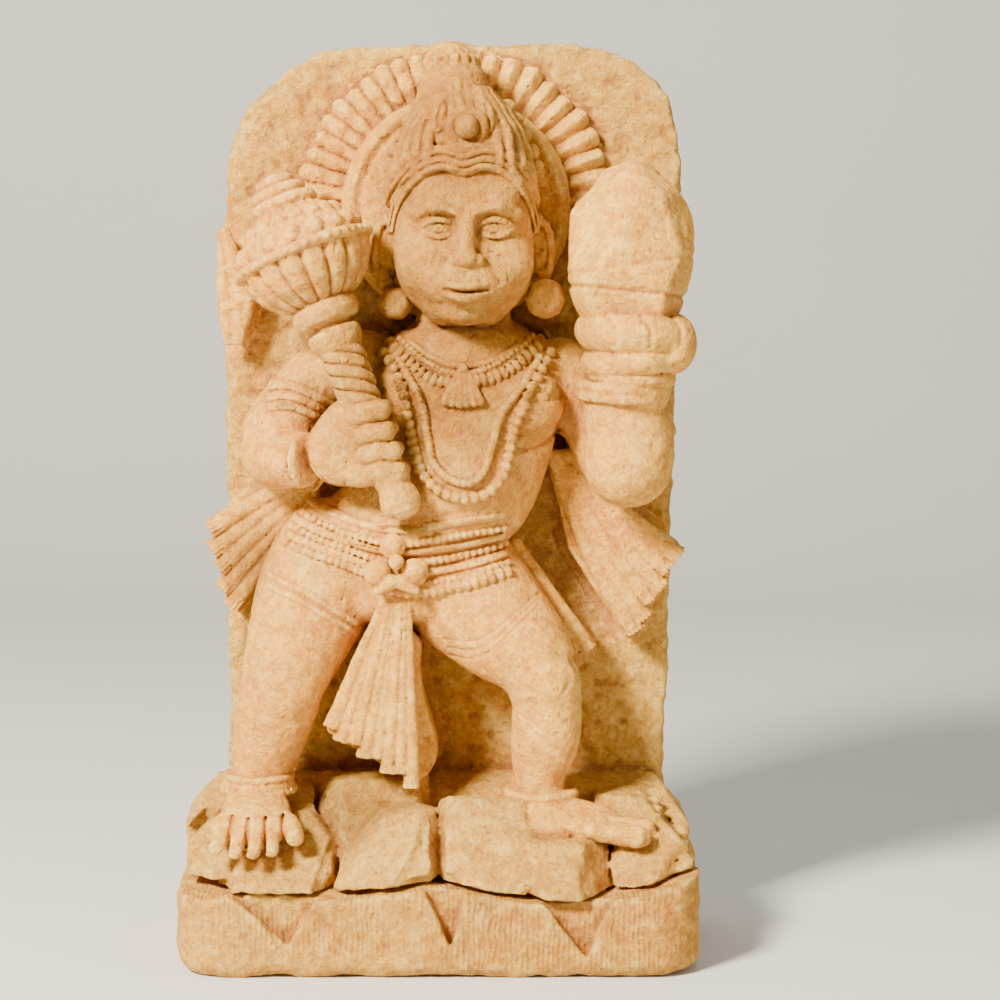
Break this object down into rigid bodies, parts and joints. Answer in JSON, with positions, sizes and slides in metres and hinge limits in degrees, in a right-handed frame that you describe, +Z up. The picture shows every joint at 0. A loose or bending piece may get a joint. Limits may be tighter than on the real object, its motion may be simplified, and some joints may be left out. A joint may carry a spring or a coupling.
{
  "type": "stone relief statue",
  "caption": "Standing deity with a mace and a raised rock, carved in high relief on a round-topped stone slab over a rocky ledge, bedded and dowelled on a plinth stone.",
  "frame": {"origin": "middle of the plinth's underside", "axes": "+Z up, +X to the viewer's right (the figure's left), +Y into the slab, so the figure faces -Y"},
  "size_m": [0.34, 0.18, 0.6009],
  "materials": {
    "carved_stone": "hand-carved sandstone, worn pale on the high spots",
    "slab_stone": "rough-dressed sandstone, ochre in the recesses",
    "ledge_stone": "sandstone carved as rock facets, weathered",
    "plinth_stone": "sandstone dressed with a toothed chisel",
    "mortar": "lime mortar",
    "dowel_steel": "plain bar"
  },
  "bodies": {
    "root": {"back_slab": "slab_stone", "bedding_mortar": "mortar", "crown_cap": "carved_stone", "crown_drum": "carved_stone", "crown_finial": "carved_stone", "crown_jewel": "carved_stone", "dowel_pins": "dowel_steel", "front_apron": "carved_stone", "girdle": "carved_stone", "girdle_rosettes": "carved_stone", "halo_disc": "carved_stone", "head": "carved_stone", "headband": "carved_stone", "held_rock": "carved_stone", "hips": "carved_stone", "left_anklet": "carved_stone", "left_bracelet": "carved_stone", "left_ear": "carved_stone", "left_earring": "carved_stone", "left_foot": "carved_stone", "left_forearm": "carved_stone", "left_hand": "carved_stone", "left_sash": "carved_stone", "left_shin": "carved_stone", "left_thigh": "carved_stone", "left_upper_arm": "carved_stone", "long_garland": "carved_stone", "mace_collar": "carved_stone", "mace_finial": "carved_stone", "mace_head": "carved_stone", "mace_pommel": "carved_stone", "mace_shaft": "carved_stone", "neck": "carved_stone", "pendant": "carved_stone", "pleated_halo": "carved_stone", "plinth": "plinth_stone", "right_anklet": "carved_stone", "right_armlet": "carved_stone", "right_bracelet": "carved_stone", "right_ear": "carved_stone", "right_earring": "carved_stone", "right_foot": "carved_stone", "right_forearm": "carved_stone", "right_hand": "carved_stone", "right_sash": "carved_stone", "right_shin": "carved_stone", "right_thigh": "carved_stone", "right_upper_arm": "carved_stone", "rock_between_feet": "ledge_stone", "rock_front_left": "ledge_stone", "rock_front_middle": "ledge_stone", "rock_front_right": "ledge_stone", "rock_ground": "ledge_stone", "rock_under_left_foot": "ledge_stone", "rock_under_right_foot": "ledge_stone", "sash_end": "carved_stone", "short_necklace": "carved_stone", "tail_tip": "carved_stone", "torso": "carved_stone"}
  },
  "joints": []
}
